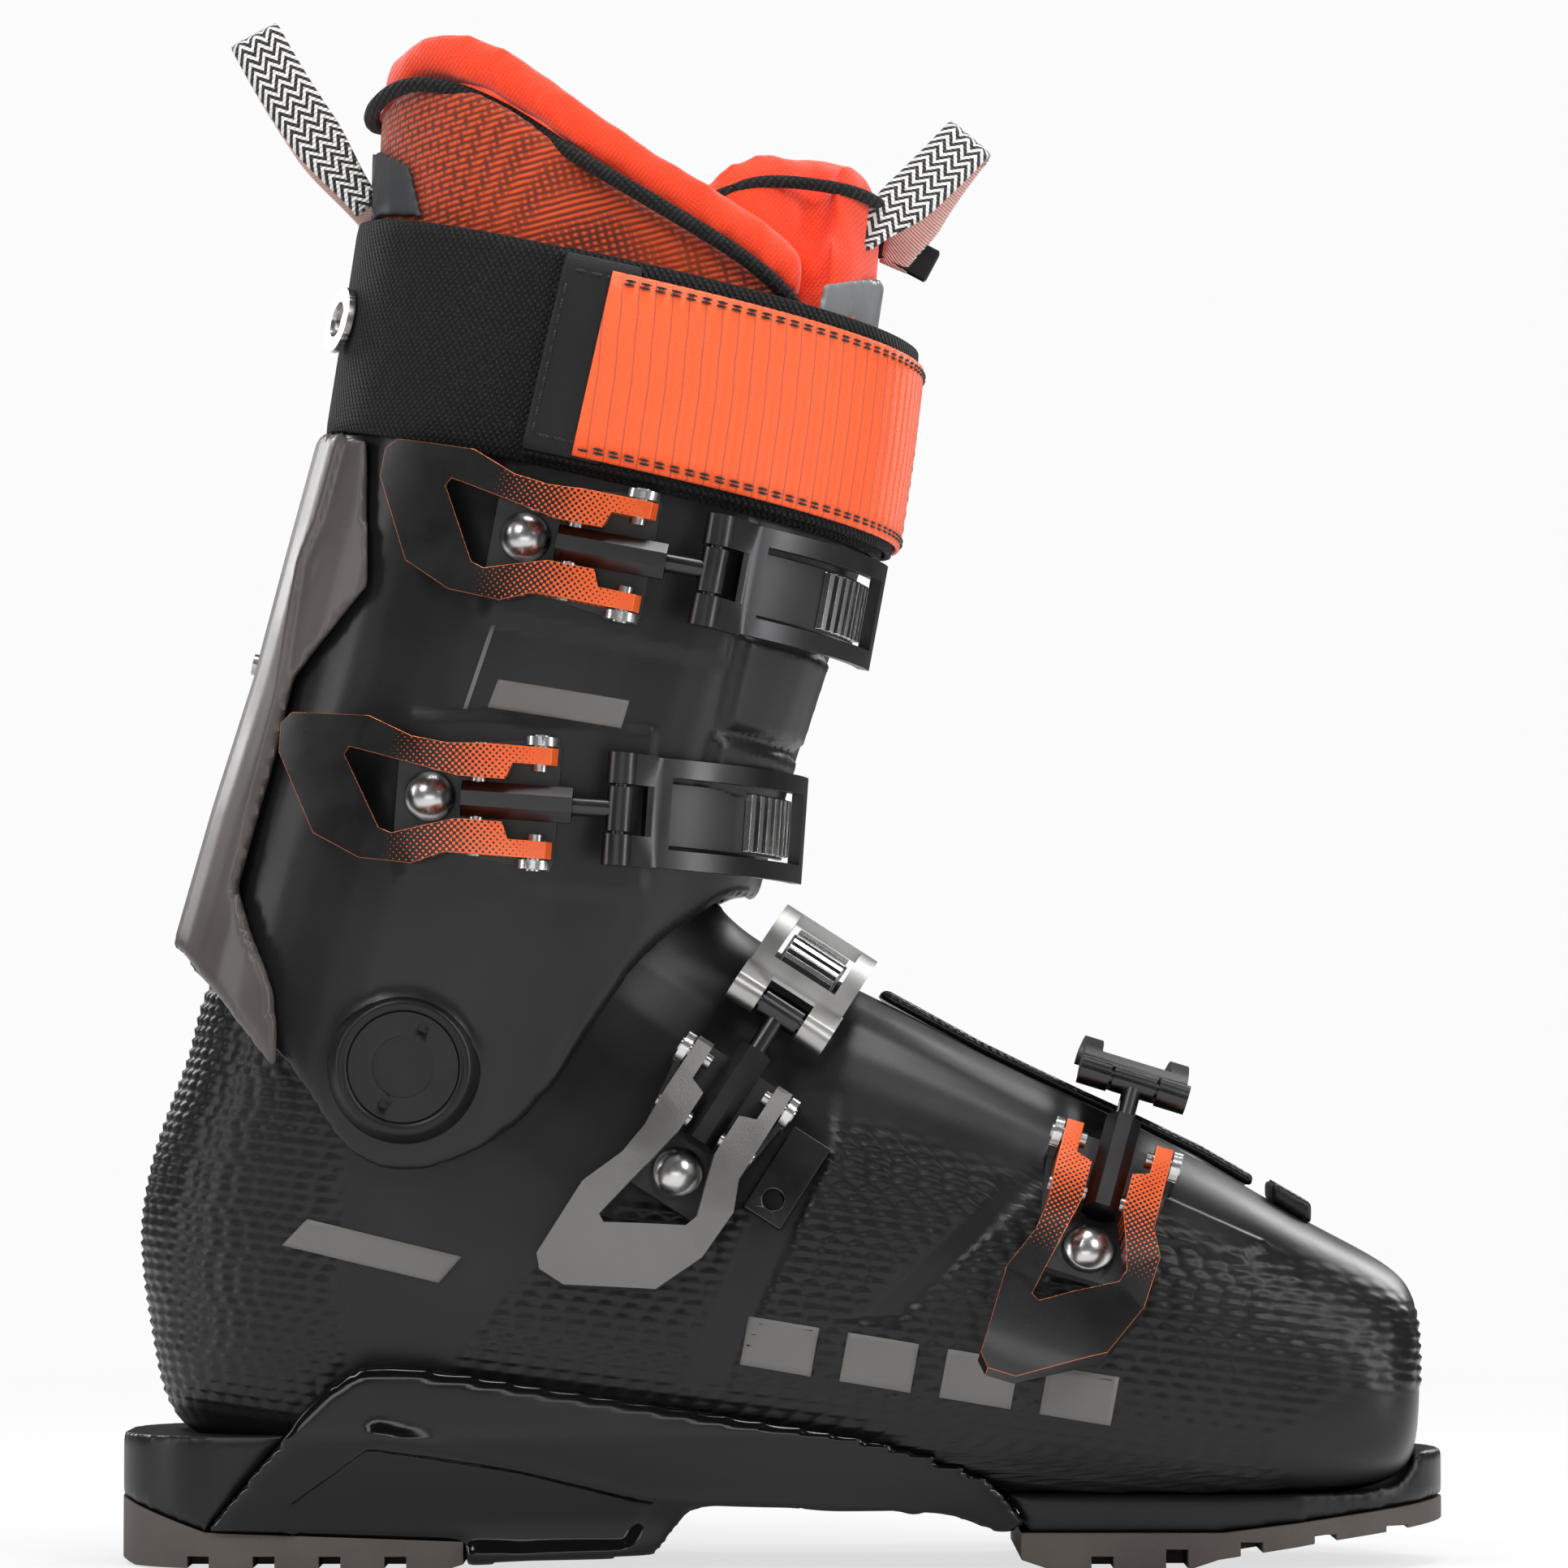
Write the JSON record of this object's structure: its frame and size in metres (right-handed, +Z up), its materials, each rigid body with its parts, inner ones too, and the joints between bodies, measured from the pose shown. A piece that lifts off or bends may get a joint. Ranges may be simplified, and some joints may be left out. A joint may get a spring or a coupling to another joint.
{
  "type": "alpine ski boot",
  "caption": "Overlap alpine ski boot for the right foot: hard lower shell, pivoting cuff, latching lever buckles, power strap, padded inner boot and replaceable sole lugs.",
  "frame": {"origin": "middle of the sole length, on the ground, in the plane between the two sides", "axes": "+X to the toe, +Y to the inner side of the foot, +Z up; the buckles face -Y"},
  "size_m": [0.306, 0.1308, 0.36],
  "materials": {
    "shell_black": "satin",
    "cuff_black": "satin",
    "lug_black": "satin",
    "tread": "matte",
    "saddle": "gloss",
    "steel": "satin",
    "board": "matte",
    "foam": "matte",
    "footbed": "matte",
    "rubber": "matte",
    "spine": "satin",
    "liner_fabric": "matte",
    "pad": "matte",
    "tongue_plastic": "satin",
    "tab": "matte",
    "strap": "matte",
    "overlay": "satin",
    "webbing": "matte",
    "ink": "satin",
    "lever": "satin",
    "pewter": "satin",
    "bright": "satin",
    "black_metal": "satin"
  },
  "bodies": {
    "shell": {"lower_shell": "shell_black", "heel_lug": "lug_black", "toe_lug": "lug_black", "heel_tread": "tread", "toe_tread": "tread", "arch_frame": "saddle", "sole_screws": "steel", "bootboard": "board", "insole": "footbed", "liner_foot": "foam", "overlap_gasket": "rubber", "gasket_clip": "ink", "instep_plate": "ink", "pivot_bolts": "steel", "instep_base": "ink", "instep_ladder": "black_metal", "toe_base": "ink", "toe_ladder": "black_metal", "lever_pins_shell": "steel"},
    "cuff": {"cuff_shell": "cuff_black", "rear_spine": "spine", "spine_screws": "steel", "liner_upper": "liner_fabric", "liner_collar_pad": "pad", "tongue": "pad", "tongue_plate": "tongue_plastic", "rear_tab": "tab", "strap_band": "strap", "strap_rivet": "steel", "upper_base": "ink", "upper_ladder": "bright", "lower_base": "ink", "lower_ladder": "bright", "lever_pins_cuff": "steel"},
    "canting_disc": {"canting_disc": "ink"},
    "strap_tail": {"strap_tail": "strap", "strap_overlay": "overlay"},
    "loop_rear": {"loop_rear": "webbing"},
    "loop_front": {"loop_front": "webbing", "loop_clip": "ink"},
    "upper_lever": {"upper_lever": "lever", "upper_barrel_pin": "steel"},
    "upper_barrel": {"upper_barrel": "black_metal"},
    "upper_rod": {"upper_rod": "black_metal"},
    "upper_hook": {"upper_hook": "black_metal"},
    "lower_lever": {"lower_lever": "lever", "lower_barrel_pin": "steel"},
    "lower_barrel": {"lower_barrel": "black_metal"},
    "lower_rod": {"lower_rod": "black_metal"},
    "lower_hook": {"lower_hook": "black_metal"},
    "instep_lever": {"instep_lever": "pewter", "instep_barrel_pin": "steel"},
    "instep_barrel": {"instep_barrel": "black_metal"},
    "instep_rod": {"instep_rod": "black_metal"},
    "instep_hook": {"instep_hook": "bright"},
    "toe_lever": {"toe_lever": "lever", "toe_barrel_pin": "steel"},
    "toe_barrel": {"toe_barrel": "black_metal"},
    "toe_rod": {"toe_rod": "black_metal"},
    "toe_hook": {"toe_hook": "black_metal"}
  },
  "joints": [
    {"name": "cuff_flex", "type": "hinge", "parent": "shell", "child": "cuff", "pos_m": [-0.086, 0, 0.114], "axis": [0, 1, 0], "range_deg": [-2, 5], "stiffness_Nm_per_rad": 60},
    {"name": "canting_turn", "type": "hinge", "parent": "cuff", "child": "canting_disc", "pos_m": [-0.086, 0, 0.114], "axis": [0, 1, 0], "range_deg": [-90, 90]},
    {"name": "upper_lever_open", "type": "hinge", "parent": "cuff", "child": "upper_lever", "pos_m": [-0.03432, -0.063, 0.22884], "axis": [0.1822, 0, 0.9833], "range_deg": [0, 125]},
    {"name": "upper_barrel_swing", "type": "hinge", "parent": "upper_lever", "child": "upper_barrel", "pos_m": [-0.04759, -0.063, 0.2313], "axis": [0.1822, 0, 0.9833], "range_deg": [-125, 0]},
    {"name": "upper_rod_adjust", "type": "slide", "parent": "upper_barrel", "child": "upper_rod", "axis": [0.9833, 0, -0.1822], "range_m": [0, 0.005]},
    {"name": "upper_hook_swing", "type": "hinge", "parent": "upper_rod", "child": "upper_hook", "pos_m": [-0.01613, -0.063, 0.22547], "axis": [-0.1822, 0, -0.9833], "range_deg": [0, 50]},
    {"name": "lower_lever_open", "type": "hinge", "parent": "cuff", "child": "lower_lever", "pos_m": [-0.05546, -0.061, 0.17319], "axis": [0.0698, 0, 0.9976], "range_deg": [0, 125]},
    {"name": "lower_barrel_swing", "type": "hinge", "parent": "lower_lever", "child": "lower_barrel", "pos_m": [-0.06893, -0.061, 0.17414], "axis": [0.0698, 0, 0.9976], "range_deg": [-125, 0]},
    {"name": "lower_rod_adjust", "type": "slide", "parent": "lower_barrel", "child": "lower_rod", "axis": [0.9976, 0, -0.0698], "range_m": [0, 0.005]},
    {"name": "lower_hook_swing", "type": "hinge", "parent": "lower_rod", "child": "lower_hook", "pos_m": [-0.03701, -0.061, 0.1719], "axis": [-0.0698, 0, -0.9976], "range_deg": [0, 50]},
    {"name": "instep_lever_open", "type": "hinge", "parent": "shell", "child": "instep_lever", "pos_m": [-0.01071, -0.04595, 0.11102], "axis": [-0.8415, 0, 0.5402], "range_deg": [0, 125]},
    {"name": "instep_barrel_swing", "type": "hinge", "parent": "instep_lever", "child": "instep_barrel", "pos_m": [-0.01785, -0.04875, 0.09991], "axis": [-0.8415, 0, 0.5402], "range_deg": [-125, 0]},
    {"name": "instep_rod_adjust", "type": "slide", "parent": "instep_barrel", "child": "instep_rod", "axis": [0.5284, 0.2079, 0.8231], "range_m": [0, 0.005]},
    {"name": "instep_hook_swing", "type": "hinge", "parent": "instep_rod", "child": "instep_hook", "pos_m": [-0.00094, -0.0421, 0.12625], "axis": [0.8415, 0, -0.5402], "range_deg": [0, 50]},
    {"name": "toe_lever_open", "type": "hinge", "parent": "shell", "child": "toe_lever", "pos_m": [0.07508, -0.04664, 0.09515], "axis": [-0.9563, 0, 0.2924], "range_deg": [0, 125]},
    {"name": "toe_barrel_swing", "type": "hinge", "parent": "toe_lever", "child": "toe_barrel", "pos_m": [0.07174, -0.05379, 0.0842], "axis": [-0.9563, 0, 0.2924], "range_deg": [-125, 0]},
    {"name": "toe_rod_adjust", "type": "slide", "parent": "toe_barrel", "child": "toe_rod", "axis": [0.2479, 0.5299, 0.811], "range_m": [0, 0.005]},
    {"name": "toe_hook_swing", "type": "hinge", "parent": "toe_rod", "child": "toe_hook", "pos_m": [0.07967, -0.03683, 0.11015], "axis": [0.9563, 0, -0.2924], "range_deg": [0, 50]},
    {"name": "strap_peel", "type": "hinge", "parent": "cuff", "child": "strap_tail", "pos_m": [0.0278, 0.014, 0.25675], "axis": [0.2164, 0, 0.9763], "range_deg": [0, 70]},
    {"name": "rear_loop_swing", "type": "hinge", "parent": "cuff", "child": "loop_rear", "pos_m": [-0.0985, 0, 0.312], "axis": [0, 1, 0], "range_deg": [-30, 4]},
    {"name": "front_loop_swing", "type": "hinge", "parent": "cuff", "child": "loop_front", "pos_m": [0.024, 0, 0.305], "axis": [0, 1, 0], "range_deg": [-4, 45]}
  ],
  "couplings": [
    {"joint": "upper_barrel_swing", "follows": "upper_lever_open", "ratio": -1},
    {"joint": "lower_barrel_swing", "follows": "lower_lever_open", "ratio": -1},
    {"joint": "instep_barrel_swing", "follows": "instep_lever_open", "ratio": -1},
    {"joint": "toe_barrel_swing", "follows": "toe_lever_open", "ratio": -1}
  ]
}
